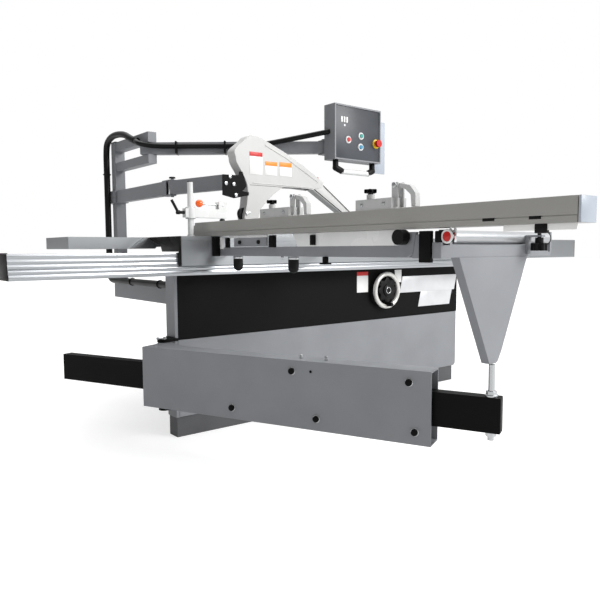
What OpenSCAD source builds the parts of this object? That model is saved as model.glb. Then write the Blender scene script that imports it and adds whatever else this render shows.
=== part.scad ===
// Sliding-table panel saw made of separate sub-parts.
// Millimetres, +Z up, X along the sliding table, floor at Z = 0,
// origin in the middle of the base footprint.

/* [Machine] */
// Height of the table plane above the floor
table_z = 885; // [860:5:900]
// Length of the base
base_len = 1950; // [1600:10:2350]
// Depth of the base cabinet
base_depth = 980; // [960:10:1180]
// Height of the kick plinth
plinth_h = 90; // [60:5:120]
// Height where the upper front band begins
band_z = 435; // [380:5:480]
// Sheet thickness of the casing
sheet = 6; // [4:1:8]
// Radius of the dust outlet in the back of the cabinet
dust_r = 60; // [40:5:70]

/* [Sliding table] */
// Length of the sliding carriage
carriage_len = 3195; // [2660:5:3840]
// Length of the fixed rail
rail_len = 2990; // [2600:10:3300]
// Overhang of the rail past the left end of the base
rail_over = 690; // [500:10:800]
// Diameter of the rollers in the roller cage
cage_roller_d = 23; // [21:0.5:23]

/* [Crosscut fence] */
// Length of the crosscut fence
fence_len = 1784; // [1700:2:2140]
// Width of the fence profile
fence_w = 73; // [70:1:74]
// Height of the fence profile
fence_h = 62; // [60:1:62]
// Length of the telescopic bar inside the fence
fence_bar_len = 1040; // [800:10:1100]
// Diameter of the fence pivot
fence_pin_d = 20; // [14:1:24]

/* [Swing arm] */
// Length of the swing arm housing
arm_len = 1201; // [1001:10:1241]
// Height of the swing arm housing
arm_h = 246; // [240:2:260]
// Width of the swing arm housing
arm_w = 85; // [80:1:90]
// Length of the telescopic tube
tube_len = 1890; // [1600:10:2000]
// Height of the telescopic tube
tube_h = 113; // [94:1:116]
// Thickness of the telescopic tube
tube_w = 45; // [36:1:50]
// Angle of the arm from straight out
arm_angle = 24.12; // [10:0.01:40]
// Diameter of the swing arm pivot pin
arm_pin_d = 20; // [16:1:26]

/* [Saw unit] */
// Diameter of the saw blade
blade_d = 300; // [250:5:300]
// Height of the blade above the table
blade_up = 60; // [50:1:60]
// Diameter of the scoring blade
scorer_d = 120; // [100:5:120]
// Diameter of the saw arbor
arbor_d = 25; // [20:1:30]
// Diameter of the drive motor
motor_d = 130; // [110:5:136]

/* [Overhead column] */
// Side of the square column
column_w = 60; // [50:1:60]
// Height of the top of the column
column_top = 1481; // [1440:1:1560]
// Length of the panel boom between its pivots
boom_len = 977; // [900:1:1010]
// Width of the control panel
panel_w = 352; // [300:2:430]
// Height of the control panel
panel_h = 297; // [280:1:360]

/* [Display] */
// Sub-part to show, or all of them

/* [Hidden] */
$fn = 64;
fit = 0.05;
gap = 0.3;
hose_bulge = 0.6;
front_depth = 77;
cover_t = 5;
cabinet_x = 450;
base_top = table_z - 164;
rail_floor = table_z - 88;
rail_top = table_z - 69;
rail_back = 10;
carriage_x = -22;
carriage_front = -122;
carriage_back = 166;
carriage_low = rail_floor + cage_roller_d + 2 * gap;
blade_x = 720;
blade_y = 180;
arbor_z = table_z + blade_up - blade_d / 2;
arbor_pulley_r = 35;
motor_pulley_r = 40;
motor_x = blade_x - 80;
motor_z = arbor_z - 125;
pulley_y = blade_y + 22;
belt_t = 6;
slide_y = blade_y + 110;
plate_y = slide_y + 16;
scorer_x = 500;
scorer_z = table_z + 2 - scorer_d / 2;
fence_x = 148;
fence_z = table_z + 2;
fence_far = 70;
fence_mid = fence_x + fence_w / 2;
clamp_x = 89;
column_x = 270;
column_y = 1264;
beam_z = 537;
beam_h = 88;
boom_z = 1359;
boom_h = 65;
boom_w = 45;
boom_angle = -38.77;
boom_pin = [300, 840];
arm_root = [-160.56, -120];
arm_z = 188;
tube_z = 253;
tube_y = 20;
arm_x0 = -54.7;
tube_x0 = -533;
arm_pivot = [-58, -8];
pivot_local = [-60.3, 139.4];
frame_z = 802;
frame_h = 36;
frame_near = -1310;
knob_x = 606;
knob_y = frame_near - 42;
bar = 40;
guard_z = 1117;
guard_h = 73;
hood_y = 151;
hood_t = 66;
hinge2 = [290, 560];
wheel_pos = [1296, 597];

steel = [0.60, 0.62, 0.63];
dark = [0.12, 0.12, 0.13];
alu = [0.75, 0.76, 0.77];
paint = [0.57, 0.58, 0.60];
light = [0.84, 0.84, 0.83];

// A box between two opposite corners
module box(lo, hi) {
    translate(lo) cube([hi[0] - lo[0], hi[1] - lo[1], hi[2] - lo[2]]);
}

// A cylinder lying along X, from x0 to x1
module xcyl(x0, x1, y, z, r) {
    translate([x0, y, z]) rotate([0, 90, 0]) cylinder(r = r, h = x1 - x0);
}

// A cylinder lying along Y, from y0 to y1
module ycyl(x, y0, y1, z, r) {
    translate([x, y0, z]) rotate([-90, 0, 0]) cylinder(r = r, h = y1 - y0);
}

// A cylinder standing along Z, from z0 to z1
module zcyl(x, y, z0, z1, r) {
    translate([x, y, z0]) cylinder(r = r, h = z1 - z0);
}

// A section drawn in (Y, Z) and pushed along X
module along_x(x0, x1) {
    translate([x0, 0, 0]) rotate([90, 0, 90]) linear_extrude(x1 - x0) children();
}

// A shape drawn in (X, Z) and pushed along Y
module along_y(y0, y1) {
    translate([0, y1, 0]) rotate([90, 0, 0]) linear_extrude(y1 - y0) children();
}

// A hose through a list of points, with a slightly wider ball at each bend
module hose(pts, r) {
    for (i = [0:len(pts) - 2]) {
        d = pts[i + 1] - pts[i];
        translate(pts[i]) rotate([0, acos(d[2] / norm(d)), atan2(d[1], d[0])])
            cylinder(r = r, h = norm(d));
        translate(pts[i]) sphere(r = r + hose_bulge);
    }
}

// A hose through gentle bends, as straight bars that run a little into each other
module gentle_hose(pts, r) {
    run_in = r / 3;
    for (i = [0:len(pts) - 2]) {
        d = pts[i + 1] - pts[i];
        translate(pts[i]) rotate([0, acos(d[2] / norm(d)), atan2(d[1], d[0])])
            translate([0, 0, -run_in])
            cylinder(r = r - hose_bulge * (i % 2), h = norm(d) + 2 * run_in);
    }
}

// The frame of the swing arm: X runs out along the arm, Y towards its back
module on_arm() {
    translate([arm_root[0], arm_root[1], 0]) rotate([0, 0, arm_angle - 90]) children();
}

// The frame of the panel boom: X runs out along the boom from its pivot
module on_boom() {
    translate([boom_pin[0], boom_pin[1], 0]) rotate([0, 0, boom_angle]) children();
}

// Shift from the front left floor corner of the base to the shared origin
module site() {
    translate([-base_len / 2, -base_depth / 2, 0]) children();
}

// ---- base ----

module plinth() {
    wall = 20;
    inset = 23;
    mid = base_len / 2;
    color(paint) union() {
        box([mid - 30, front_depth + wall, 0],
            [mid + 30, base_depth - 10 - wall, plinth_h - 20]);
        plinth_ring(wall, inset);
    }
}

// The open skirt round the bottom of the base
module plinth_ring(wall, inset) {
    difference() {
        union() {
            box([6, 4, 0], [base_len - inset, front_depth, plinth_h]);
            box([cabinet_x + 10, front_depth, 0],
                [base_len - inset, base_depth - 10, plinth_h]);
        }
        box([6 + wall, 4 + wall, -1],
            [base_len - inset - wall, front_depth - wall, plinth_h + 1]);
        box([cabinet_x + 10 + wall, front_depth + wall, -1],
            [base_len - inset - wall, base_depth - 10 - wall, plinth_h + 1]);
    }
}

module base_frame() {
    post = 50;
    flange = 15;
    saw_lo = cabinet_x + 20;
    saw_hi = 1070;
    color(paint) difference() {
        union() {
            difference() {
                box([0, cover_t, plinth_h], [base_len, front_depth, base_top]);
                box([sheet, -1, plinth_h + sheet],
                    [base_len - sheet, front_depth - sheet, base_top - sheet]);
            }
            difference() {
                box([cabinet_x, front_depth - sheet, plinth_h],
                    [base_len, base_depth, base_top]);
                box([cabinet_x + sheet, front_depth - sheet - 1, plinth_h + sheet],
                    [base_len - sheet, base_depth - sheet, base_top - sheet]);
            }
            box([0, -2, plinth_h], [flange, cover_t, base_top]);
            for (y = [200, 560]) {
                box([cabinet_x + 2, y, base_top - sheet],
                    [cabinet_x + 30, y + 40, table_z - 40]);
                box([1080, y, base_top - sheet], [1080 + post, y + 40, table_z - 40]);
            }
            for (x = [560, 1080])
                box([x, 880, base_top - sheet], [x + post, 880 + post, table_z - 36]);
        }
        box([cabinet_x + sheet, front_depth - sheet - 1, plinth_h + sheet],
            [base_len - sheet, front_depth + 1, base_top - sheet]);
        box([saw_lo + 20, -1, base_top - sheet - 1], [saw_hi, 556, base_top + 1]);
        box([720, base_depth - sheet - 1, 170], [1480, base_depth + 1, 630]);
        ycyl(base_len - 250, base_depth - sheet - 1, base_depth + 1, 300, dust_r);
    }
}

module lower_cover() {
    cut = 15;
    color(paint) along_y(-4, cover_t)
        polygon([[15, plinth_h + 2], [base_len - cut, plinth_h + 2],
            [base_len, plinth_h + 2 + cut], [base_len, band_z - 1], [15, band_z - 1]]);
}

module upper_band() {
    color(dark) difference() {
        box([15, -2, band_z], [base_len + 8, cover_t, base_top - 3]);
        ycyl(wheel_pos[0], -3, cover_t + 1, wheel_pos[1], 12.5);
    }
}

module rear_door() {
    y0 = base_depth + 1;
    color(paint) union() {
        box([700, y0, 150], [1500, y0 + 4, 650]);
        zcyl(696, y0 + 8, 200, 600, 7);
        box([696, y0 + 3, 200], [712, y0 + 9, 600]);
        box([1440, y0 + 4, 380], [1460, y0 + 30, 420]);
    }
}

module main_table() {
    far = 820;
    low = table_z - 40;
    skin = 16;
    nose = table_z - 51;
    color(steel) difference() {
        along_y(172, far) polygon([[-42, table_z], [1250, table_z], [1250, low],
            [10, low], [0, nose], [-115, nose]]);
        box([-12, 212, nose - 1], [cabinet_x - 10, far - 40, table_z - skin]);
        box([cabinet_x + 34, 171, low - 1], [1075, 540, table_z - skin]);
        box([cabinet_x + 34, 620, low - 1], [1075, far - 40, table_z - skin]);
        box([1135, 212, low - 1], [1210, far - 40, table_z - skin]);
        box([430, 171, low - 1], [1010, 200, table_z + 1]);
    }
}

module extension_table() {
    low = table_z - 51;
    color(alu) difference() {
        along_y(200, 505) polygon([[-377, low], [-115, low], [-42, table_z],
            [-377, table_z]]);
        box([-367, 212, low - 1], [-130, 493, table_z - 14]);
    }
}

module side_table() {
    low = table_z - 36;
    color(steel) difference() {
        box([350, 822, low], [1250, 1180, table_z]);
        box([360, 832, low - 1], [1240, 870, table_z - 5]);
        box([360, 950, low - 1], [1240, 1170, table_z - 5]);
    }
}

module main_rail() {
    lip = 8;
    b = base_top;
    color(alu) along_x(-rail_over, rail_len - rail_over)
        polygon([[-115, b], [rail_back, b], [rail_back, rail_top],
            [rail_back - lip, rail_top], [rail_back - lip, rail_floor],
            [-92, rail_floor], [-92, rail_top], [-103, rail_top],
            [-103, b + 89], [-100, b + 87], [-100, b + 76], [-104, b + 74],
            [-104, b + 60], [-101, b + 58], [-101, b + 55], [-104, b + 53],
            [-104, b + 38], [-112, b + 36], [-112, b + 23], [-108, b + 21],
            [-115, b + 19]]);
}

module column_arm() {
    color(paint) union() {
        box([column_x, front_depth, beam_z],
            [column_x + 60, column_y + column_w + 10, beam_z + beam_h]);
        box([column_x + 60, 560, beam_z + 3], [cabinet_x, 620, beam_z + beam_h - 5]);
    }
}

module overhead_column() {
    near = 809;
    z0 = beam_z + beam_h;
    cx = column_x + column_w / 2;
    color(paint) difference() {
        union() {
            box([column_x, column_y, z0],
                [column_x + column_w, column_y + column_w, column_top]);
            box([cx - 25, near, boom_z + boom_h + 1], [cx + 25, column_y + 1, column_top]);
            box([cx - 25, near, boom_z - 50], [cx + 25, column_y + 1, boom_z - 1]);
            zcyl(boom_pin[0], boom_pin[1], boom_z - 40, boom_z + boom_h + 30, 10);
        }
        box([column_x + 5, column_y + 5, z0 - 1],
            [column_x + column_w - 5, column_y + column_w - 5, boom_z - 60]);
    }
}

module column_hose() {
    r = 20;
    x = column_x - r - 14;
    back = column_y + 54;
    low = beam_z + beam_h + 20;
    color(dark) union() {
        hose([[x, front_depth + r + 1, low], [x, back, low], [x, back, 1420],
            [x, back - 34, 1478], [x, back - 96, 1506], [x, 1120, 1506],
            [x, 1030, 1490], [x, 970, 1462]], r);
    }
}

module tilt_trunnions() {
    r_in = 105;
    r_out = 155;
    color(steel) for (x = [546, 1002])
        translate([x, blade_y, table_z]) rotate([90, 0, 90]) {
            difference() {
                rotate([0, 0, -118]) rotate_extrude(angle = 93)
                    translate([r_in, 0]) square([r_out - r_in, 12]);
                rotate([0, 0, -110]) rotate_extrude(angle = 80)
                    translate([130 - 6 - gap, -1]) square([12 + 2 * gap, 14]);
            }
            translate([98, -60, 0]) cube([40, 44, 12]);
        }
}

module arm_pivot_brackets() {
    x = arm_pivot[0];
    y = arm_pivot[1];
    top = arm_z + arm_h;
    color(dark) union() {
        for (z = [140, top + 1.5]) {
            box([x, y - 26, z], [0, y + 26, z + 12]);
            zcyl(x, y, z, z + 12, 26);
            box([-8, y, z], [0, front_depth - 10, z + 12]);
        }
        zcyl(x, y, 140, top + 13.5, arm_pin_d / 2);
        zcyl(x, y, 150, arm_z - 1.5, 17);
    }
}

module handwheel() {
    color(dark) translate([wheel_pos[0], 0, wheel_pos[1]]) rotate([90, 0, 0]) union() {
        translate([0, 0, 30]) rotate_extrude() translate([95, 0]) circle(r = 8);
        for (a = [30, 150, 270]) rotate([0, 0, a]) translate([0, -9, 24])
            cube([94, 18, 10]);
        translate([0, 0, 8]) cylinder(r = 34, h = 34);
        translate([0, 0, -40]) cylinder(r = 12, h = 50);
        translate([0, -78, 28]) cylinder(r = 9, h = 46);
    }
}

// ---- sliding table ----

module carriage() {
    x1 = carriage_x + carriage_len;
    slot = table_z - 10;
    color(alu) difference() {
        along_x(carriage_x, x1) polygon([[carriage_front, rail_floor - 35],
            [-107, rail_floor - 35], [-107, carriage_low], [45, carriage_low],
            [60, table_z - 35], [120, table_z - 23], [carriage_back, table_z - 8],
            [carriage_back, table_z], [carriage_front, table_z]]);
        for (y = [-31, 95]) {
            box([carriage_x - 1, y - 6, slot - 1], [x1 + 1, y + 6, table_z + 1]);
            box([carriage_x - 1, y - 10, slot - 3], [x1 + 1, y + 10, slot + 2]);
        }
        box([carriage_x - 1, carriage_front - 1, table_z - 21],
            [x1 + 1, carriage_front + 3, table_z - 18]);
        box([carriage_x - 1, carriage_front - 1, table_z - 52],
            [x1 + 1, carriage_front + 2, table_z - 49]);
        box([carriage_x - 1, -90, carriage_low + 6], [x1 + 1, -45, table_z - 18]);
        box([carriage_x - 1, -16, carriage_low + 6], [x1 + 1, 40, table_z - 18]);
    }
    color(steel) zcyl(fence_mid + 0.5, 20, table_z - 1, table_z + 42, fence_pin_d / 2);
}

module roller_cage() {
    x0 = 539;
    r = cage_roller_d / 2;
    zc = rail_floor + gap + r;
    color(steel) union() {
        box([x0, -80, zc - 3], [x0 + 1200, -14, zc + 3]);
        for (i = [0:5]) translate([x0 + 60 + 216 * i, -76, zc]) rotate([-90, 0, 0])
            cylinder(r = r, h = 58);
    }
}

module outrigger_frame() {
    z0 = frame_z;
    z1 = frame_z + frame_h;
    y0 = frame_near;
    color(paint) difference() {
        union() {
            box([161, y0, z0], [161 + bar, carriage_front, z1]);
            box([694, y0, z0], [694 + bar, carriage_front, z1]);
            box([161, y0, z0], [734, y0 + bar, z1]);
            box([161, -700, z0], [734, -700 + bar, z1]);
            box([206, y0, z1 - 4], [218, y0 + bar, table_z - 2]);
            box([730, y0 + 10, z0], [772, y0 + 34, z0 + 14]);
            box([762, y0 + 10, z0], [772, y0 + 34, table_z - 2]);
            along_x(150, 162) polygon([[-1232, table_z - 8], [-1158, table_z - 8],
                [-1170, z0 + 12], [-1195, z0], [-1220, z0 + 12]]);
            box([knob_x - 10, y0 - 8, z0 + 8], [knob_x + 10, y0 + 1, z1 + 32]);
            box([knob_x - 10, knob_y - 14, z1 + 26], [knob_x + 10, y0 + 1, z1 + 32]);
        }
        xcyl(149, 163, -1195, table_z - 23, 8 + gap);
        xcyl(205, 219, y0 + 22, table_z - 24, 6 + gap);
        xcyl(761, 773, y0 + 22, table_z - 24, 6 + gap);
        zcyl(knob_x, knob_y, z1 + 25, z1 + 33, 6 + gap);
        box([167, y0 + 6, z0 + 6], [195, carriage_front - 6, z1 - 6]);
        box([700, y0 + 46, z0 + 6], [728, carriage_front - 6, z1 - 6]);
    }
}

module outrigger_leg() {
    low = 468.6;
    color(paint) along_y(frame_near - 2, frame_near + 28)
        polygon([[248, frame_z], [604, frame_z], [471, 507], [451, 474], [440, low],
            [408, low]]);
}

module outrigger_roller() {
    y = frame_near + 22;
    z = table_z - 24;
    color(steel) union() {
        xcyl(230, 755, y, z, 20.5);
        xcyl(204, 774, y, z, 6);
    }
}

module clamp_grip(y) {
    z1 = frame_z - 1;
    color(dark) union() {
        zcyl(181, y, z1 - 42, z1, 20);
        translate([181, y, z1 - 42]) sphere(r = 20);
    }
}

module table_clamp_1() {
    clamp_grip(-236);
}

module table_clamp_2() {
    clamp_grip(-614);
}

module star_knob() {
    y = knob_y;
    color(dark) union() {
        for (i = [0:5]) translate([knob_x, y, 820]) rotate([0, 0, 60 * i])
            translate([17, 0, 0]) cylinder(r = 9, h = 24);
        zcyl(knob_x, y, 820, 844, 20);
        zcyl(knob_x, y, 844, 862, 13);
        zcyl(knob_x, y, 862, 884, 6);
    }
}

module fence_clamp_knob() {
    z = table_z - 23;
    color(dark) union() {
        xcyl(112, 142, -1195, z, 22.5);
        xcyl(142, 161, -1195, z, 8);
    }
}

module carriage_lock() {
    x = carriage_x + carriage_len + 6.5;
    color(dark) union() {
        xcyl(x, x + 18, -96, table_z - 38, 9);
        box([x + 10, -102, table_z - 66], [x + 18, -90, table_z - 38]);
    }
}

// ---- crosscut fence ----

module fence_profile() {
    x0 = fence_x;
    x1 = fence_x + fence_w;
    near = fence_far - fence_len;
    top = fence_z + fence_h;
    mid = fence_mid + 0.5;
    color(alu) difference() {
        box([x0, near, fence_z], [x1, fence_far, top]);
        box([x0 + 10, near - 1, fence_z + 6], [x1 - 10, -40, fence_z + 38]);
        box([mid - 7, near - 1, top - 13], [mid + 7, fence_far + 1, top + 1]);
        box([mid - 13, near - 1, top - 13], [mid + 13, fence_far + 1, top - 8]);
        box([x0 - 1, near - 1, fence_z + 16], [x0 + 3, fence_far + 1, fence_z + 19]);
        zcyl(mid, 20, fence_z - 1, table_z + 44, fence_pin_d / 2 + fit);
    }
}

module fence_extension() {
    x0 = fence_x;
    near = fence_far - fence_len;
    color(alu) union() {
        box([x0 + 12, near - 3, fence_z + 8],
            [x0 + fence_w - 12, near + fence_bar_len, fence_z + 36]);
        box([x0, near - 8, fence_z], [x0 + fence_w, near - 2, fence_z + fence_h]);
    }
}

module stop_block(y0, y1) {
    top = fence_z + fence_h;
    mid = fence_mid + 0.5;
    color(steel) difference() {
        union() {
            box([mid - 34, y0, top + 0.4], [mid + 34, y1, top + 34]);
            box([mid - 6.6, y0, top - 7], [mid + 6.6, y1, top + 1]);
            box([mid - 16, y0 - 10, top + 6], [mid - 11, y0 + 14, top + 80]);
            box([mid + 11, y0 - 10, top + 6], [mid + 16, y0 + 14, top + 80]);
            zcyl(mid, y1 - 34, top + 33, top + 52, 13);
        }
        xcyl(mid - 17, mid + 17, y0 + 2, top + 72, 4 + fit);
    }
}

module stop_arm(y0) {
    top = fence_z + fence_h;
    mid = fence_mid + 0.5;
    color(steel) union() {
        xcyl(mid - 16, mid + 16, y0 + 2, top + 72, 4);
        xcyl(mid - 10, mid + 10, y0 + 2, top + 72, 8);
        along_x(mid - 10, mid + 10) polygon([[y0 + 2, top + 80], [y0 + 2, top + 64],
            [y0 - 34, top + 58], [y0 - 56, top + 40], [y0 - 60, top + 4],
            [y0 - 76, top + 4], [y0 - 74, top + 44], [y0 - 52, top + 68]]);
    }
}

module stop_block_1() {
    stop_block(-624, -442);
}

module stop_arm_1() {
    stop_arm(-624);
}

module stop_block_2() {
    stop_block(-1132, -978);
}

module stop_arm_2() {
    stop_arm(-1132);
}

// ---- workpiece clamp ----

module clamp_post() {
    color(alu) union() {
        zcyl(clamp_x, 0, table_z, table_z + 237, 12.5);
        zcyl(clamp_x, 0, table_z, table_z + 8, 16);
    }
}

module clamp_arm() {
    z0 = table_z + 84;
    z1 = table_z + 123;
    color(light) difference() {
        union() {
            box([58, -15, z0], [264, 15, z1]);
            zcyl(clamp_x, 0, z0 - 4, z1 + 4, 22);
            box([225, -15, z1 - 1], [264, 15, z1 + 34]);
        }
        zcyl(clamp_x, 0, z0 - 5, z1 + 5, 12.5 + fit);
        zcyl(250, 0, z0 - 1, z1 - 8, 7 + fit);
        box([224, -6, z1 + 2], [265, 6, z1 + 35]);
        ycyl(246, -16, 16, z1 + 18, 4 + fit);
        xcyl(57, 66, 0, z0 + 21, 7 + fit);
    }
}

module clamp_cam_lever() {
    z = table_z + 141;
    color([0.9, 0.35, 0.02]) union() {
        ycyl(246, -14, 14, z, 4);
        ycyl(246, -5.5, 5.5, z, 9);
        translate([246, 0, z]) rotate([0, -87, 0]) cylinder(r = 3, h = 106);
        translate([133, 0, z + 6]) rotate([0, 0, 90]) sphere(r = 17);
    }
}

module clamp_plunger() {
    z0 = table_z + 72;
    color(steel) union() {
        zcyl(250, 0, z0, table_z + 110, 7);
        zcyl(250, 0, z0, z0 + 8, 11);
    }
}

module clamp_lock_lever() {
    z = table_z + 105;
    color(dark) union() {
        xcyl(34, 65, 0, z, 7);
        xcyl(22, 36, 0, z, 9);
        translate([29, 0, z]) rotate([0, -30, 0]) cylinder(r = 6, h = 60);
    }
}

// ---- swing arm ----

module swing_arm() {
    top = arm_z + arm_h;
    wall = 5;
    x1 = arm_x0 + arm_len;
    color(paint) on_arm() difference() {
        union() {
            difference() {
                box([arm_x0, 0, arm_z], [x1, arm_w, top]);
                box([arm_x0 - 1, wall, arm_z + wall], [x1 + 1, arm_w - wall, top - wall]);
            }
            for (z = [arm_z, top - 10]) {
                translate([0, 0, z]) linear_extrude(10)
                    polygon([[arm_x0, arm_w - 1], [90, arm_w - 1],
                        [pivot_local[0] + 18, pivot_local[1] + 16],
                        [pivot_local[0] - 20, pivot_local[1] + 12]]);
                zcyl(pivot_local[0], pivot_local[1], z, z + 10, 24);
            }
        }
        zcyl(pivot_local[0], pivot_local[1], arm_z - 1, top + 1, arm_pin_d / 2 + fit);
        for (x = [639, 1072]) ycyl(x, -1, arm_w + 1, 394, 8.2);
        for (x = [381, 736, 1093]) ycyl(x, -1, arm_w + 1, 231, 8.2);
    }
}

module arm_guide_rollers() {
    r_top = 394 - tube_z - tube_h - gap;
    r_low = tube_z - 231 - gap;
    color(steel) on_arm() {
        for (x = [639, 1072]) {
            ycyl(x, -6, arm_w + 6, 394, 8);
            ycyl(x, 14, arm_w - 14, 394, r_top);
        }
        for (x = [381, 736, 1093]) {
            ycyl(x, -6, arm_w + 6, 231, 8);
            ycyl(x, 14, arm_w - 14, 231, r_low);
        }
    }
}

module arm_tube() {
    x1 = tube_x0 + tube_len;
    wall = 4;
    color(dark) on_arm() difference() {
        box([tube_x0, tube_y, tube_z], [x1, tube_y + tube_w, tube_z + tube_h]);
        box([tube_x0 - 1, tube_y + wall, tube_z + wall],
            [x1 + 1, tube_y + tube_w - wall, tube_z + tube_h - wall]);
        zcyl(x1 - 31, tube_y + tube_w / 2, tube_z - 1, tube_z + tube_h + 1, 10.2);
    }
}

module tube_stud() {
    x = tube_x0 + tube_len - 31;
    y = tube_y + tube_w / 2;
    top = tube_z + tube_h;
    color(steel) on_arm() union() {
        zcyl(x, y, 226, 467, 10);
        zcyl(x, y, top, top + 5, 21);
        translate([x, y, top + 5]) cylinder(r = 17, h = 12, $fn = 6);
        translate([x, y, tube_z - 14]) cylinder(r = 17, h = 14, $fn = 6);
    }
}

// ---- guard ----

module guard_arm_1() {
    z0 = guard_z;
    z1 = guard_z + guard_h;
    c = column_w / 2;
    cx = column_x + c;
    cy = column_y + c;
    color(paint) difference() {
        union() {
            box([cx - c - 12, cy - c - 12, z0], [cx + c + 12, cy + c + 12, z1]);
            box([column_x, 596, z0], [column_x + 40, cy - c - 11, z1]);
            for (z = [z0 - 5, z1]) {
                box([hinge2[0] - 20, hinge2[1], z], [hinge2[0] + 20, 640, z + 5]);
                zcyl(hinge2[0], hinge2[1], z, z + 5, 20);
            }
            zcyl(hinge2[0], hinge2[1], z0 - 12, z1 + 12, 8);
            ycyl(cx, cy + c + 11, cy + c + 70, z0 + 30, 32);
        }
        box([cx - c - gap, cy - c - gap, z0 - 1], [cx + c + gap, cy + c + gap, z1 + 1]);
        box([column_x + 4, 595, z0 + 4], [column_x + 36, cy - c - 14, z1 - 4]);
    }
}

module guard_arm_2() {
    z0 = guard_z + 1;
    z1 = guard_z + guard_h - 1;
    color(paint) translate([hinge2[0], hinge2[1], 0]) rotate([0, 0, 11.8])
        difference() {
            union() {
                box([-20, -414, z0], [20, 0, z1]);
                zcyl(0, 0, z0, z1, 20);
            }
            zcyl(0, 0, z0 - 1, z1 + 1, 8 + fit);
            box([-16, -415, z0 + 4], [16, -30, z1 - 4]);
        }
}

module guard_bracket() {
    y1 = 149;
    color(dark) difference() {
        union() {
            bracket_plate(y1);
            translate([hinge2[0], hinge2[1], 0]) rotate([0, 0, 11.8])
                box([20, -427, 1125], [24, -340, 1180]);
            ycyl(462, 143, 225, 1139, 6);
        }
        for (p = [[383, 1180], [360, 1146], [404, 1144], [416, 1092]])
            ycyl(p[0], 142, y1 + 1, p[1], 7);
    }
}

// The black plate that carries the hood
module bracket_plate(y1) {
    along_y(143, y1) polygon([[345, 1188], [438, 1189], [441, 1208], [458, 1207],
        [479, 1138], [456, 1114], [493, 1111], [493, 1095], [408, 1077],
        [343, 1090]]);
}

hood_outline = [[515, 1391], [470, 1358], [419, 1313], [423, 1280], [431, 1249],
    [474, 1182], [492, 1127], [486, 1051], [475, 976], [557, 988], [564, 1024],
    [602, 1064], [710, 1147], [909, 1144], [977, 1166], [985, 1189], [942, 1213],
    [840, 1270], [731, 1323], [591, 1377]];
hood_hollow = [[487, 960], [548, 960], [575, 1010], [612, 1050], [715, 1125],
    [905, 1122], [962, 1160], [965, 1180], [935, 1200], [728, 1310], [588, 1364],
    [520, 1375], [432, 1308], [442, 1250], [484, 1185], [502, 1127], [496, 1051]];

module guard_hood() {
    wheel = [486, 1006];
    color(light) difference() {
        along_y(hood_y, hood_y + hood_t) polygon(hood_outline);
        along_y(hood_y + 8, hood_y + hood_t - 8) polygon(hood_hollow);
        ycyl(462, hood_y - 1, hood_y + hood_t + 1, 1139, 6 + fit);
        ycyl(wheel[0], hood_y + 16, hood_y + hood_t - 16, wheel[1], 34);
    }
    color(steel) ycyl(wheel[0], hood_y, hood_y + hood_t, wheel[1], 5);
}

module guard_wheel() {
    color(dark) difference() {
        ycyl(486, hood_y + 22, hood_y + hood_t - 22, 1006, 31);
        ycyl(486, hood_y + 20, hood_y + hood_t - 20, 1006, 5 + fit);
    }
}

// ---- control panel ----

module panel_boom() {
    color(paint) on_boom() difference() {
        union() {
            box([-50, -boom_w / 2, boom_z], [boom_len, boom_w / 2, boom_z + boom_h]);
            zcyl(boom_len, 0, boom_z, boom_z + boom_h, boom_w / 2);
        }
        zcyl(0, 0, boom_z - 1, boom_z + boom_h + 1, 10 + fit);
        zcyl(boom_len, 0, boom_z - 1, boom_z + boom_h + 1, 8 + fit);
        box([30, -boom_w / 2 + 4, boom_z + 4],
            [boom_len - 40, boom_w / 2 - 4, boom_z + boom_h - 4]);
    }
}

module boom_hose() {
    r = 15;
    y = -boom_w / 2 - r - 1;
    z = boom_z + 40;
    color(dark) on_boom() union() {
        gentle_hose([[-84, 20, z + 42], [-68, -42, z + 22], [-20, -54, z + 6],
            [60, y, z], [boom_len - 160, y, z], [boom_len - 90, y, z + 50]], r);
    }
}

// The far pivot of the boom, in the frame of the base corner
swivel = [boom_pin[0] + boom_len * cos(boom_angle), boom_pin[1] + boom_len * sin(boom_angle)];
panel_x = swivel[0] - 32;
panel_back = swivel[1] - 34;
panel_y = panel_back - 88;
panel_z = 1316;

module panel_box() {
    color(paint) difference() {
        union() {
            box([panel_x, panel_y, panel_z],
                [panel_x + panel_w, panel_back, panel_z + panel_h]);
            for (z = [boom_z - 7, boom_z + boom_h + 1])
                box([swivel[0] - 26, panel_back - 1, z],
                    [swivel[0] + 26, swivel[1] + 26, z + 6]);
            zcyl(swivel[0], swivel[1], boom_z - 7, boom_z + boom_h + 7, 8);
        }
        box([panel_x + 8, panel_y - 1, panel_z + 8],
            [panel_x + panel_w - 8, panel_y + 5, panel_z + panel_h - 8]);
        box([panel_x + 4, panel_y + 9, panel_z + 4],
            [panel_x + panel_w - 4, panel_back - 4, panel_z + panel_h - 4]);
        for (p = [[101, 111], [197, 140], [194, 79]])
            ycyl(panel_x + p[0], panel_y, panel_y + 40, panel_z + p[1], 11 + gap);
        ycyl(panel_x + panel_w - 37, panel_y, panel_y + 50, panel_z + 108, 12 + gap);
    }
}

module push_button(p) {
    color(p[2]) ycyl(panel_x + p[0], panel_y - 6, panel_y + 34, panel_z + p[1], 11);
}

module start_button() {
    push_button([197, 140, [0.1, 0.5, 0.2]]);
}

module stop_button() {
    push_button([101, 111, [0.7, 0.1, 0.1]]);
}

module select_button() {
    push_button([194, 79, [0.1, 0.25, 0.6]]);
}

module emergency_stop() {
    x = panel_x + panel_w - 37;
    z = panel_z + 108;
    color([0.8, 0.08, 0.05]) union() {
        ycyl(x, panel_y - 12, panel_y + 40, z, 12);
        ycyl(x, panel_y - 26, panel_y - 11, z, 20);
    }
}

// ---- saw unit ----

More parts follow.
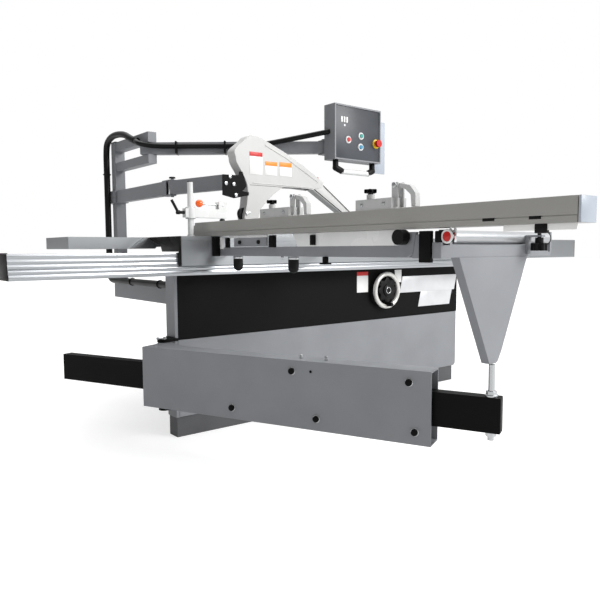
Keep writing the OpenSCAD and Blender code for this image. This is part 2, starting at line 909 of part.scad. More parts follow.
module tilt_frame() {
    y0 = plate_y;
    y1 = plate_y + 15;
    low = arbor_z - 272;
    top = table_z - 60;
    pin_r = 6;
    color(steel) difference() {
        union() {
            box([560, y0, low], [1000, y1, top]);
            for (x = [560, 988]) {
                box([x, blade_y + 20, table_z - 150], [x + 12, y0 + 1, top]);
                box([x, blade_y + 20, table_z - 82], [x + 12, blade_y + 60, table_z - 32]);
            }
            box([scorer_x - 16, blade_y + 20, scorer_z - 16],
                [561, blade_y + 60, scorer_z + 16]);
            for (a = [-60, -38]) {
                y = blade_y + 130 * cos(a);
                z = table_z + 130 * sin(a);
                xcyl(548, 561, y, z, pin_r);
                xcyl(999, 1012, y, z, pin_r);
            }
        }
        box([572, y0 - 1, low + 16], [820, y1 + 1, top - 22]);
        ycyl(scorer_x, blade_y + 19, blade_y + 61, scorer_z, 8 + fit);
    }
}

module raise_slide() {
    y0 = slide_y;
    top = arbor_z + 28;
    color(steel) difference() {
        union() {
            box([575, y0, arbor_z - 195], [850, y0 + 15, top]);
            ycyl(blade_x, blade_y + 60, y0 + 1, arbor_z, 26);
            box([blade_x + blade_d / 2 + 6, blade_y + 1.3, arbor_z - 34],
                [blade_x + blade_d / 2 + 35, blade_y + 14, arbor_z - 10]);
            box([840, blade_y + 12, arbor_z - 34],
                [blade_x + blade_d / 2 + 35, y0 + 15, arbor_z - 10]);
            riving_knife();
        }
        ycyl(blade_x, blade_y + 59, y0 + 16, arbor_z, arbor_d / 2 + fit);
        ycyl(motor_x, y0 - 1, y0 + 16, motor_z, 14);
    }
}

// The riving knife follows the back of the blade
module riving_knife() {
    r = blade_d / 2;
    along_y(blade_y - 1.2, blade_y + 1.4) polygon([
        for (a = [4:8:60]) [blade_x + (r + 5) * cos(a), arbor_z + (r + 5) * sin(a)],
        for (a = [58:-9:4]) [blade_x + (r + 40) * cos(a), arbor_z + (r + 40) * sin(a)],
        [blade_x + r + 34, arbor_z - 34], [blade_x + r + 5, arbor_z - 34]]);
}

module saw_arbor() {
    r = arbor_d / 2;
    t = 1.6;
    color(steel) difference() {
        union() {
            ycyl(blade_x, blade_y - 22, slide_y + 12, arbor_z, r);
            ycyl(blade_x, blade_y + t, blade_y + 12, arbor_z, 32);
            ycyl(blade_x, blade_y - 10, blade_y - t, arbor_z, 32);
            ycyl(blade_x, pulley_y, pulley_y + 34, arbor_z, arbor_pulley_r);
            translate([blade_x, blade_y - 22, arbor_z]) rotate([-90, 0, 0])
                cylinder(r = r + 3, h = 12, $fn = 6);
        }
        ycyl(blade_x, blade_y - 30, blade_y - 20, arbor_z, 5);
    }
}

module saw_blade() {
    r = blade_d / 2;
    n = 36;
    color(steel) along_y(blade_y - 1.6, blade_y + 1.6) translate([blade_x, arbor_z])
        difference() {
            polygon([for (i = [0:n - 1]) each [
                r * [cos(360 * i / n), sin(360 * i / n)],
                (r - 9) * [cos(360 * (i + 0.35) / n), sin(360 * (i + 0.35) / n)]]]);
            circle(r = arbor_d / 2 + gap);
        }
}

module drive_motor() {
    r = motor_d / 2;
    y0 = slide_y + 15;
    color(paint) union() {
        ycyl(motor_x, y0, y0 + 210, motor_z, r);
        ycyl(motor_x, y0 + 210, y0 + 240, motor_z, r - 8);
        box([motor_x - 40, y0 + 40, motor_z + r - 12],
            [motor_x + 40, y0 + 130, motor_z + r + 22]);
    }
}

module motor_pulley() {
    color(steel) union() {
        ycyl(motor_x, pulley_y, slide_y + 14, motor_z, 12);
        ycyl(motor_x, pulley_y, pulley_y + 34, motor_z, motor_pulley_r);
    }
}

module belt_loop(t) {
    hull() {
        translate([blade_x, arbor_z]) circle(r = arbor_pulley_r + gap + t);
        translate([motor_x, motor_z]) circle(r = motor_pulley_r + gap + t);
    }
}

module drive_belt() {
    color(dark) along_y(pulley_y + 5, pulley_y + 29) difference() {
        belt_loop(belt_t);
        belt_loop(0);
    }
}

module scoring_saw() {
    r = scorer_d / 2;
    color(steel) union() {
        ycyl(scorer_x, blade_y - 1.4, blade_y + 1.4, scorer_z, r);
        ycyl(scorer_x, blade_y - 9, blade_y + 9, scorer_z, 22);
        ycyl(scorer_x, blade_y - 9, blade_y + 62, scorer_z, 8);
    }
}

site() plinth();
site() base_frame();
site() lower_cover();
site() upper_band();
site() rear_door();
site() main_table();
site() extension_table();
site() side_table();
site() main_rail();
site() column_arm();
site() overhead_column();
site() column_hose();
site() tilt_trunnions();
site() arm_pivot_brackets();
site() handwheel();
site() carriage();
site() motor_pulley();
site() roller_cage();
site() outrigger_frame();
site() outrigger_leg();
site() outrigger_roller();
site() table_clamp_1();
site() table_clamp_2();
site() star_knob();
site() fence_clamp_knob();
site() carriage_lock();
site() fence_profile();
site() fence_extension();
site() stop_block_1();
site() stop_arm_1();
site() stop_block_2();
site() stop_arm_2();
site() clamp_post();
site() clamp_arm();
site() clamp_cam_lever();
site() clamp_plunger();
site() clamp_lock_lever();
site() swing_arm();
site() arm_guide_rollers();
site() arm_tube();
site() tube_stud();
site() guard_arm_1();
site() guard_arm_2();
site() guard_bracket();
site() guard_hood();
site() guard_wheel();
site() panel_boom();
site() boom_hose();
site() panel_box();
site() start_button();
site() stop_button();
site() select_button();
site() emergency_stop();
site() tilt_frame();
site() raise_slide();
site() saw_arbor();
site() saw_blade();
site() drive_motor();
site() drive_belt();
site() scoring_saw();
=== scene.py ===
import math

import bmesh
import bpy
from mathutils import Matrix, Vector


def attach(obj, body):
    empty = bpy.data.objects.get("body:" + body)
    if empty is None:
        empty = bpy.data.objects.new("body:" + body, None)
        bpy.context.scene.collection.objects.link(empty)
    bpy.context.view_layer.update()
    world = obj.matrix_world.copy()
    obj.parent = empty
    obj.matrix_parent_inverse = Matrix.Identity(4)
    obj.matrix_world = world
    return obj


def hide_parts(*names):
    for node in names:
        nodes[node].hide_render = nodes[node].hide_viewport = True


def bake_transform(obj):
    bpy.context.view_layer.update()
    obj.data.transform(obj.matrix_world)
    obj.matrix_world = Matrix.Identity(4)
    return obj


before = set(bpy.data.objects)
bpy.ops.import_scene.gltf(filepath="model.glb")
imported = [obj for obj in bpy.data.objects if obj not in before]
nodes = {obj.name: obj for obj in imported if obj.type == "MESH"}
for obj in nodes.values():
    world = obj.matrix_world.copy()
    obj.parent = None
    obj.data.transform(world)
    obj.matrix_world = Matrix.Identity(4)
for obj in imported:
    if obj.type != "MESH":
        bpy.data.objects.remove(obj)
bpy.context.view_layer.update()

# ---- places ----
# Pieces are drawn in millimetres from the base's front left floor corner
# and moved to the frame, in metres, when they are done.
SITE = Matrix.Scale(0.001, 4) @ Matrix.Translation((-975, -490, 0))
ON_ARM = Matrix.Translation((-160.56, -120, 0)) @ Matrix.Rotation(math.radians(-65.88), 4, "Z")
ON_BOOM = Matrix.Translation((300, 840, 0)) @ Matrix.Rotation(math.radians(-38.77), 4, "Z")
HERE = Matrix.Identity(4)

RAIL_ENDS = (-690.3, 2300.3)
HOOD_SIDES = (151, 217)
HOOD_WALL = 0.007
HOOD_EDGE = 0.004


# ---- materials ----

def linear(hex_text, alpha=1.0):
    """sRGB hex to linear RGBA."""
    parts = [int(hex_text[i:i + 2], 16) / 255 for i in (0, 2, 4)]
    return [c / 12.92 if c <= 0.04045 else ((c + 0.055) / 1.055) ** 2.4 for c in parts] + [alpha]


def add(tree, kind, sockets=None, links=None, **settings):
    """One node with its settings, its socket values and what feeds it."""
    made = tree.nodes.new(kind)
    for key, value in settings.items():
        setattr(made, key, value)
    for key, value in (sockets or {}).items():
        made.inputs[key].default_value = value
    for key, value in (links or {}).items():
        tree.links.new(value, made.inputs[key])
    return made


def new_material(name):
    """An empty material with its output, and object coordinates in metres."""
    mat = bpy.data.materials.new(name)
    mat.use_nodes = True
    tree = mat.node_tree
    tree.nodes.clear()
    out = add(tree, "ShaderNodeOutputMaterial")
    where = add(tree, "ShaderNodeTexCoord").outputs["Object"]
    return mat, tree, out, where


def surface(name, dark, light, rough, metallic=0.0, cloud_mm=180.0, grain_mm=1.5, grain_um=30.0,
            stretch=(1, 1, 1), edge_mm=1.2, streak=0.0, coat=0.0, ior=1.5, shine=0.5):
    """Colour drifts slowly between two tones, roughness drifts with it, and a fine grain
    raises the surface. stretch under 1 draws the grain out along that axis."""
    mat, tree, out, where = new_material(name)
    lay = add(tree, "ShaderNodeMapping", {"Scale": stretch}, {"Vector": where})
    cloud = add(tree, "ShaderNodeTexNoise", {"Scale": 1000 / cloud_mm, "Detail": 3.0}, {"Vector": where})
    grain = add(tree, "ShaderNodeTexNoise", {"Scale": 1000 / grain_mm, "Detail": 2.0},
                {"Vector": lay.outputs["Vector"]})
    blend = add(tree, "ShaderNodeMix", {"Factor": streak},
                {"A": cloud.outputs["Fac"], "B": grain.outputs["Fac"]})
    tone = add(tree, "ShaderNodeValToRGB", links={"Fac": blend.outputs["Result"]})
    tone.color_ramp.elements[0].position = 0.35
    tone.color_ramp.elements[0].color = linear(dark)
    tone.color_ramp.elements[1].position = 0.65
    tone.color_ramp.elements[1].color = linear(light)
    matte = add(tree, "ShaderNodeMapRange", {"From Min": 0.3, "From Max": 0.7, "To Min": rough[0],
                "To Max": rough[1]}, {"Value": blend.outputs["Result"]})
    soft = add(tree, "ShaderNodeBevel", {"Radius": edge_mm / 1000}, samples=4)
    bump = add(tree, "ShaderNodeBump", {"Strength": 0.6, "Distance": grain_um * 1e-6},
               {"Height": grain.outputs["Fac"], "Normal": soft.outputs["Normal"]})
    fixed = {"Metallic": metallic}
    if not metallic:
        fixed.update({"IOR": ior, "Specular IOR Level": shine})
    if coat:
        fixed.update({"Coat Weight": coat, "Coat Roughness": 0.12})
    body = add(tree, "ShaderNodeBsdfPrincipled", fixed,
               {"Base Color": tone.outputs["Color"], "Roughness": matte.outputs["Result"],
                "Normal": bump.outputs["Normal"]})
    tree.links.new(body.outputs["BSDF"], out.inputs["Surface"])
    return mat


# Powder coat: baked powder gives a satin skin with a faint orange peel of about 3 mm.
grey_coat = surface("grey_powder_coat", "84868A", "8A8C90", (0.42, 0.52), grain_mm=3, grain_um=60, shine=0.4)
# A darker mix of the same powder, for the plinth and the motor: the darker tone is painted shade, where they
# sink into the shade.
shaded_grey_coat = surface("grey_powder_coat_with_painted_shade", "4E4F51", "555658", (0.45, 0.55), grain_mm=3, grain_um=60)
# Textured black powder coat: a fine grit that kills the shine.
black_coat = surface("black_textured_powder_coat", "050505", "080808", (0.5, 0.62), grain_mm=1.4,
    grain_um=60, shine=0.12)
# Gloss light enamel on small turned and cast parts.
white_coat = surface("light_gloss_enamel", "DCDDDC", "E6E7E6", (0.22, 0.3), grain_mm=4, grain_um=20)
# Anodised extrusion: etched satin aluminium with die lines along its length, drawn 2 mm apart to show.
rail_alu = surface("anodised_extrusion_along_x", "AEB1B4", "B2B5B8", (0.26, 0.32), 1.0, 500, 2, 1,
                   (0.004, 1, 1), edge_mm=0, streak=0.05)
fence_alu = surface("anodised_extrusion_along_y", "ACABA7", "B0AFAB", (0.34, 0.42), 0.55, 500, 2, 1,
                    (1, 0.004, 1), edge_mm=0, streak=0.05)
# Ground grey iron: oiled, with grinding marks across the table, drawn 3 mm apart to show.
ground_iron = surface("ground_grey_iron", "8C8E90", "A2A4A6", (0.3, 0.42), 1.0, 300, 3, 12,
                      (1, 0.02, 1), streak=0.4)
# As-cast iron under paint of the hidden machine frame.
cast_grey = surface("painted_grey_casting", "5B5D60", "66686A", (0.5, 0.62), grain_mm=5, grain_um=200)
# Bead-blasted and anodised castings: pale, even, softly shining.
pale_alu = surface("blasted_anodised_casting", "B4B5B4", "BCBDBC", (0.36, 0.44), 0.0, 80, 1.5, 20)
# Zinc plated steel: turned, bright, with a soft uneven lustre.
zinc_steel = surface("zinc_plated_steel", "BCBEC0", "C8CACB", (0.22, 0.3), 1.0, 160, 1.2, 5)
# Drawn steel tube, zinc plated and rubbed satin: one even soft highlight.
satin_tube = surface("satin_steel_tube", "A8AAAC", "B0B2B4", (0.34, 0.4), 0.6, 160, 1.2, 1, edge_mm=0)
# Polished aluminium rim of the handwheel: nearly white.
rim_polish = surface("polished_aluminium_rim", "DBDAD6", "E3E2DE", (0.12, 0.18), 0.3, 60, 2, 2)
# Chrome plate over polished steel.
chrome = surface("polished_chrome_plate", "D4D6D8", "DEE0E2", (0.06, 0.1), 1.0, 60, 2, 3)
# Ground saw plate: a fine even scratch all over.
saw_plate = surface("ground_saw_plate", "A6A8AA", "B8BABC", (0.25, 0.36), 1.0, 60, 1, 12, (1, 1, 0.05),
    streak=0.5)
# Glass-filled nylon: spark-eroded mould texture, dull black.
black_nylon = surface("moulded_black_nylon", "070707", "0B0B0B", (0.42, 0.55), grain_mm=0.9, grain_um=50,
    shine=0.2)
# ABS guard shell: light warm grey, fine mould texture, slight sheen.
guard_abs = surface("moulded_light_grey_abs", "C4C4C2", "CBCBC9", (0.38, 0.48), grain_mm=1.2, grain_um=30)
# Flexible conduit: extruded PVC, satin black.
conduit = surface("extruded_black_conduit", "070708", "0B0B0C", (0.34, 0.46), grain_mm=2, grain_um=60,
    shine=0.25)
# Moulded rubber: flat and dark, it takes no highlight.
belt_rubber = surface("moulded_belt_rubber", "1A1A1A", "202020", (0.7, 0.8), grain_mm=1, grain_um=60)
# Phenolic ball knob: polished in the mould, so it is glossy.
orange_ball = surface("polished_orange_ball_knob", "FF5F00", "FF6D05", (0.14, 0.2), grain_mm=4, grain_um=6,
    coat=0.4)
# Moulded button caps: smooth and full of colour, each with one small crisp highlight.
red_cap = surface("moulded_red_cap", "BE1714", "C92320", (0.24, 0.32), grain_mm=3, grain_um=10)
green_cap = surface("moulded_green_cap", "2E8F86", "3A9C92", (0.24, 0.32), grain_mm=3, grain_um=10)
blue_cap = surface("moulded_blue_cap", "3C8FB4", "489CC0", (0.24, 0.32), grain_mm=3, grain_um=10)
# Printed films: even colour, half matt, no depth.
yellow_film = surface("printed_yellow_film", "E8C21A", "EFCB28", (0.35, 0.42), grain_mm=3, grain_um=8)
red_film = surface("printed_red_film", "C8201E", "D02A27", (0.35, 0.42), grain_mm=3, grain_um=8)
orange_film = surface("printed_orange_film", "F08A1C", "F4922A", (0.35, 0.42), grain_mm=3, grain_um=8)
white_film = surface("printed_white_film", "E9E9E7", "F1F1EF", (0.35, 0.45), grain_mm=3, grain_um=8)
# Painted sheet: cool and pale beside the warm greys.
pale_sheet = surface("pale_blue_grey_sheet", "A3ABB6", "B2BAC4", (0.3, 0.4), grain_mm=3, grain_um=15)
# Metallic film of the blank nameplate: a faint brushed shimmer.
silver_film = surface("brushed_silver_film", "CFD0D2", "D8D9DB", (0.3, 0.4), 0.25, 90, 1, 3, (0.02, 1, 1),
    streak=0.1)
# Smoked film over the panel front: nearly black, drifting lighter toward one side as a painted reflection.
panel_film_with_painted_sheen = surface("smoked_panel_film_painted_reflection", "2B2D31", "4A4D53", (0.3, 0.38), cloud_mm=420, grain_mm=2,
    grain_um=10, shine=0.35)

DRESS = {
    grey_coat: "base_frame lower_cover rear_door column_arm overhead_column outrigger_frame outrigger_leg "
               "swing_arm guard_arm_1 guard_arm_2 panel_boom panel_box",
    # The plinth and the motor take the grey coat darkened with painted shade.
    shaded_grey_coat: "plinth drive_motor",
    black_coat: "upper_band arm_pivot_brackets arm_tube guard_bracket",
    ground_iron: "main_table side_table",
    cast_grey: "tilt_trunnions tilt_frame raise_slide",
    rail_alu: "main_rail carriage extension_table",
    fence_alu: "fence_profile fence_extension",
    pale_alu: "stop_block_1 stop_block_2 stop_arm_1 stop_arm_2",
    satin_tube: "outrigger_roller",
    zinc_steel: "roller_cage clamp_plunger arm_guide_rollers tube_stud saw_arbor motor_pulley",
    saw_plate: "saw_blade scoring_saw",
    white_coat: "clamp_post clamp_arm",
    black_nylon: "handwheel table_clamp_1 table_clamp_2 star_knob fence_clamp_knob carriage_lock "
                 "clamp_lock_lever guard_wheel",
    guard_abs: "guard_hood",
    conduit: "column_hose boom_hose",
    belt_rubber: "drive_belt",
    orange_ball: "clamp_cam_lever",
    red_cap: "stop_button emergency_stop",
    green_cap: "start_button",
    blue_cap: "select_button",
}
for material, names in DRESS.items():
    for name in names.split():
        node = nodes[name]
        if not node.material_slots:
            node.data.materials.append(material)
        for slot in node.material_slots:
            slot.material = material


# ---- shapes ----

def block(bm, lo, hi, edge=1.0):
    """A box between two corners with its edges eased."""
    lo, hi = Vector(lo), Vector(hi)
    made = bmesh.ops.create_cube(bm, size=1)["verts"]
    bmesh.ops.scale(bm, vec=hi - lo, verts=made)
    bmesh.ops.translate(bm, vec=(hi + lo) / 2, verts=made)
    if edge:
        edges = list({e for v in made for e in v.link_edges})
        bmesh.ops.bevel(bm, geom=edges, offset=edge, offset_type="OFFSET", segments=2, profile=0.5,
                        affect="EDGES", material=-1)


def rod(bm, start, end, radius, end_radius=None, sides=32, edge=0.0):
    """A round or hexagonal bar from one point to another, its rims eased."""
    start, end = Vector(start), Vector(end)
    made = bmesh.ops.create_cone(bm, cap_ends=True, cap_tris=False, segments=sides, radius1=radius,
                                 radius2=radius if end_radius is None else end_radius,
                                 depth=(end - start).length)["verts"]
    turn = Vector((0, 0, 1)).rotation_difference(end - start).to_matrix()
    bmesh.ops.rotate(bm, cent=(0, 0, 0), matrix=turn, verts=made)
    bmesh.ops.translate(bm, vec=(start + end) / 2, verts=made)
    if edge:
        rims = [e for f in {f for v in made for f in v.link_faces} if len(f.verts) == sides for e in f.edges]
        bmesh.ops.bevel(bm, geom=list(set(rims)), offset=edge, offset_type="OFFSET", segments=2, profile=0.5,
                        affect="EDGES", material=-1)


def ball(bm, centre, radius):
    made = bmesh.ops.create_uvsphere(bm, u_segments=32, v_segments=20, radius=radius)["verts"]
    bmesh.ops.translate(bm, vec=centre, verts=made)


def ring(bm, centre, axis, radius, thick, steps=64):
    """A torus: a small circle spun round an axis."""
    axis = Vector(axis).normalized()
    side = axis.orthogonal().normalized()
    made = bmesh.ops.create_circle(bm, cap_ends=False, segments=20, radius=thick)["verts"]
    turn = Vector((0, 0, 1)).rotation_difference(axis.cross(side)).to_matrix()
    bmesh.ops.rotate(bm, cent=(0, 0, 0), matrix=turn, verts=made)
    bmesh.ops.translate(bm, vec=Vector(centre) + side * radius, verts=made)
    edges = list({e for v in made for e in v.link_edges})
    bmesh.ops.spin(bm, geom=edges, cent=centre, axis=axis, dvec=(0, 0, 0), angle=2 * math.pi, steps=steps,
                   use_merge=True, use_duplicate=False)


def plate(bm, outline, plane, near, far, edge=0.8):
    """A flat outline pushed from near to far. plane XZ pushes along Y, YZ along X and XY along Z."""
    order = {"XZ": lambda a, b, d: (a, d, b), "YZ": lambda a, b, d: (d, a, b), "XY": lambda a, b,
        d: (a, b, d)}[plane]
    verts = [bm.verts.new(order(a, b, near)) for a, b in outline]
    face = bm.faces.new(verts)
    moved = bmesh.ops.extrude_face_region(bm, geom=[face])["geom"]
    new_verts = [g for g in moved if isinstance(g, bmesh.types.BMVert)]
    bmesh.ops.translate(bm, vec=order(0, 0, far - near), verts=new_verts)
    whole = list({f for v in verts + new_verts for f in v.link_faces})
    bmesh.ops.recalc_face_normals(bm, faces=whole)
    if edge:
        edges = list({e for f in whole for e in f.edges})
        bmesh.ops.bevel(bm, geom=edges, offset=edge, offset_type="OFFSET", segments=2, profile=0.5,
                        affect="EDGES", material=-1)


def lobed(across, along, radius, swell, count, steps):
    """The outline of a lobed knob round a centre."""
    outline = []
    for step in range(steps):
        turn = 2 * math.pi * step / steps
        reach = radius + swell * math.cos(count * turn)
        outline.append((across + reach * math.cos(turn), along + reach * math.sin(turn)))
    return outline


def finish_piece(bm, name, body, material, place=HERE):
    """Turns a bmesh into a piece that rides on a CAD body."""
    bm.transform(SITE @ place)
    bmesh.ops.recalc_face_normals(bm, faces=bm.faces[:])
    for edge in bm.edges:
        edge.smooth = len(edge.link_faces) == 2 and edge.calc_face_angle(0.0) < math.radians(38)
    for face in bm.faces:
        face.smooth = True
    mesh = bpy.data.meshes.new(name)
    bm.to_mesh(mesh)
    bm.free()
    obj = bpy.data.objects.new(name, mesh)
    bpy.context.scene.collection.objects.link(obj)
    mesh.materials.append(material)
    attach(obj, body)
    return obj


def make(name, body, material, shapes, place=HERE):
    """One piece from a list of (shape, arguments)."""
    bm = bmesh.new()
    for shape, *values in shapes:
        shape(bm, *values)
    return finish_piece(bm, name, body, material, place)


def hose(name, body, points, radius, replaced, place=HERE, bends=None):
    """A smooth conduit through a list of points, in place of a CAD bar."""
    curve = bpy.data.curves.new(name, "CURVE")
    curve.dimensions = "3D"
    curve.bevel_depth = radius * 0.001
    curve.bevel_resolution = 6
    curve.resolution_u = 10
    curve.use_fill_caps = True
    line = curve.splines.new("NURBS")
    line.points.add(len(points) - 1)
    for point, spot in zip(line.points, points):
        point.co = (*(SITE @ place @ Vector(spot)), 1)
    line.order_u = 3
    line.use_endpoint_u = True
    obj = bpy.data.objects.new(name, curve)
    bpy.context.scene.collection.objects.link(obj)
    bpy.context.view_layer.update()
    mesh = bpy.data.meshes.new_from_object(obj.evaluated_get(bpy.context.evaluated_depsgraph_get()))
    bpy.data.objects.remove(obj)
    solid = bpy.data.objects.new(name, mesh)
    bpy.context.scene.collection.objects.link(solid)
    mesh.materials.clear()
    mesh.materials.append(conduit)
    for face in mesh.polygons:
        face.use_smooth = len(face.vertices) == 4
    if bends:
        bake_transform(solid)
    else:
        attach(solid, body)
    if replaced:
        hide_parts(replaced)
    return solid


# ---- base ----

make("nameplate", "base", silver_film, [
    (plate, [(1430, 574), (1930, 574), (1954, 668), (1456, 668)], "XZ", -3.4, -1.9, 0.3),
    (plate, [(1592, 485), (1884, 485), (1908, 574), (1616, 574)], "XZ", -3.4, -1.9, 0.3)])
make("band_label", "base", white_film, [
    (block, (1092, -2.8, 591), (1176, -1.9, 682), 0.2)])
make("band_label_head", "base", red_film, [
    (block, (1092, -2.8, 682.4), (1176, -1.9, 703), 0.2)])
make("band_tag", "base", white_film, [
    (block, (1389, -2.8, 636), (1446, -1.9, 707), 0.2)])

# The near face of the rail: five rounded bands along it, each mirroring the room on its own
rail_face = []
for low, high, face, swell in ((721.2, 741, -115.3, 2.0), (743, 758, -112.3, 1.8), (760, 777, -104.5, 2.4),
                               (779, 796, -104.5, 2.4), (798, 815.8, -103.4, 1.6)):
    rail_face += [(face - swell * math.sin(math.pi * t / 8), low + (high - low) * t / 8) for t in range(9)]
make("rail_face", "base", rail_alu, [
    (plate, rail_face + [(-96, 815.8), (-96, 721.2)], "YZ", *RAIL_ENDS, 0)])
make("rail_end_cap", "base", black_nylon, [
    (plate, [(-115, 721), (10, 721), (10, 816), (-103, 816), (-103, 810), (-104, 745), (-115, 740)], "YZ",
    -692, -688, 1),
    (block, (-692, 8, 790), (-660, 17, 819.5), 3)])
make("hose_gland", "base", black_nylon, [
    (rod, (236, 76, 645), (236, 92, 645), 30, None, 6, 2),
    (rod, (236, 90, 645), (236, 112, 645), 26, 23, 32, 2)])
hose("column_conduit", "base", [(236, 84, 645), (236, 300, 645), (236, 700, 645), (236, 1180, 645),
    (236, 1318, 645),
     (236, 1318, 760), (236, 1318, 1000), (236, 1318, 1292)], 18.5, "column_hose")
# Its top bends over to the boom.
hose("top_conduit", "base", [(236, 1318, 1288), (236, 1318, 1340), (236, 1318, 1420), (236, 1302, 1480),
     (236, 1222, 1508), (236, 1120, 1506), (236, 1030, 1490), (237, 975, 1466), (243, 930, 1447),
     (252, 896, 1437)],
     18.5, None, HERE, ("panel_boom", (236, 1060, 1497), (246, 912, 1442)))
make("conduit_ties", "base", black_nylon, [
    (ring, (236, 1318, z), (0, 0, 1), 21, 3.4) for z in (760, 1290)] + [
    (ring, (236, y, 645), (0, 1, 0), 20.5, 2.6) for y in (260, 620, 980)])
make("conduit_cuff", "panel_boom", black_nylon, [
    (rod, (244, 923, 1446), (251, 898, 1438), 19.6, None, 32, 1.5)])
make("column_cap", "base", black_nylon, [
    (block, (268.5, 1262.5, 1481), (331.5, 1325.5, 1487), 2)])
make("pivot_screws", "base", zinc_steel, [
    (rod, (-83, -8, 447), (-83, -8, 456), 7, None, 6, 1),
    (rod, (-51, -8, 447), (-51, -8, 456), 7, None, 6, 1),
    (rod, (-58, -8, 447), (-58, -8, 450), 15, None, 32, 1)])
make("table_slot_insert", "base", rail_alu, [
    (block, (432, 190, 880), (1008, 199.5, 885.2), 0.4)])

# Handwheel: bright rim, black eight-lobed hub on three spokes, and a turning grip
make("wheel_rim", "handwheel", rim_polish, [(ring, (1296, -30, 597), (0, 1, 0), 91, 12.5, 96)])
wheel_hub = make("wheel_hub", "handwheel", black_nylon, [
    (plate, lobed(1296, 597, 66, 9, 8, 96), "XZ", -36, -20, 3), (rod, (1296, -44, 597), (1296, -8, 597), 34,
    38, 48, 5),
    (rod, (1296, 4, 597), (1296, -10, 597), 12, None, 32, 0), (rod, (1296, -74, 519), (1296, -34, 519), 10,
    13, 32, 3)] + [
    (rod, (1296, -28, 597), (1296 + 84 * math.cos(a), -28, 597 + 84 * math.sin(a)), 9, 7, 24, 0)
    for a in (math.radians(30), math.radians(150), math.radians(270))])
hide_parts("handwheel")
make("grip_pin", "handwheel", zinc_steel, [
    (rod, (1296, -40, 519), (1296, -22, 519), 5, None, 24, 0),
    (ring, (1296, -44, 597), (0, 1, 0), 17, 2.2)])

# ---- sliding table ----

make("carriage_end_plate", "carriage", black_nylon, [
    (plate, [(-122, 762), (-107, 762), (-107, 821), (45, 821), (60, 850), (120, 862), (166, 877), (166, 885),
             (101, 885), (101, 874), (89, 874), (89, 885), (-25, 885), (-25, 874), (-37, 874), (-37, 885),
             (-122, 885)], "YZ", -29, -22, 0.8)])
make("carriage_far_plate", "carriage", black_nylon, [
    (plate, [(-122, 762), (-107, 762), (-107, 821), (45, 821), (60, 850), (120, 862), (166, 877), (166, 885),
             (-122, 885)], "YZ", 3173, 3179, 0.8)])

# ---- outrigger ----

make("outrigger_dark_bracket", "carriage", black_coat, [
    (block, (125, -131, 800), (158, -122, 884), 1.5),
    (block, (146, -209, 836), (161, -189, 878), 2), (block, (144, -536, 836), (161, -505, 882), 2),
    (block, (145, -776, 842), (154, -752, 878), 2), (block, (150, -830, 776), (166, -814, 802), 2),
    (block, (142, -836, 776), (174, -808, 782), 1.5),
    (block, (146, -1288, 788), (161, -1246, 879), 2), (block, (150, -1322, 846), (204, -1300, 878), 3)])
make("outrigger_light_strip", "carriage", white_coat, [
    (block, (150, -160, 830), (161, -142, 880), 1.5), (block, (152, -482, 876), (161, -212, 885), 1),
    (plate, [(-1170, 885), (-1140, 838), (-672, 838), (-642, 885)], "YZ", 154, 161, 1)])
make("outrigger_plates", "carriage", grey_coat, [
    (block, (150, -481, 840), (161, -253, 875), 1.5),
    (block, (152, -1322, 800), (161, -1290, 846), 1.5), (block, (152, -1244, 800), (161, -1216, 870), 1.5)])
make("outrigger_bolts", "carriage", black_nylon, [
    (rod, (150, y, 857), (143, y, 857), 9, None, 6, 1.2) for y in (-300, -434)])
make("outrigger_button", "carriage", zinc_steel, [
    (rod, (172, -557, 803), (172, -557, 790), 6, 5, 24, 1.5)])
make("roller_end_ring", "carriage", white_coat, [
    (ring, (156, -1339, 862), (1, 0, 0), 17, 3.2)])
make("roller_end_button", "carriage", red_cap, [
    (rod, (162, -1339, 862), (154, -1339, 862), 15.5, 14, 32, 1.5)])
make("roller_end_stem", "carriage", chrome, [
    (rod, (160, -1339, 862), (204, -1322, 862), 6, None, 24, 0),
    (rod, (178, -1350, 846), (178, -1350, 884), 4, None, 24, 1),
    (ring, (178, -1342, 884), (1, 0, 0), 8, 3)])
make("grip_neck", "table_clamp_1", zinc_steel, [
    (rod, (181, -236, 801), (181, -236, 790), 21, 20.5, 32, 1)])
make("grip_neck_far", "table_clamp_2", zinc_steel, [
    (rod, (181, -614, 801), (181, -614, 790), 21, 20.5, 32, 1)])
make("roller_end_caps", "outrigger_roller", black_nylon, [
    (rod, (229, -1288, 861), (236, -1288, 861), 21.2, None, 48, 1),
    (rod, (749, -1288, 861), (756, -1288, 861), 21.2, None, 48, 1)])

# ---- crosscut fence ----

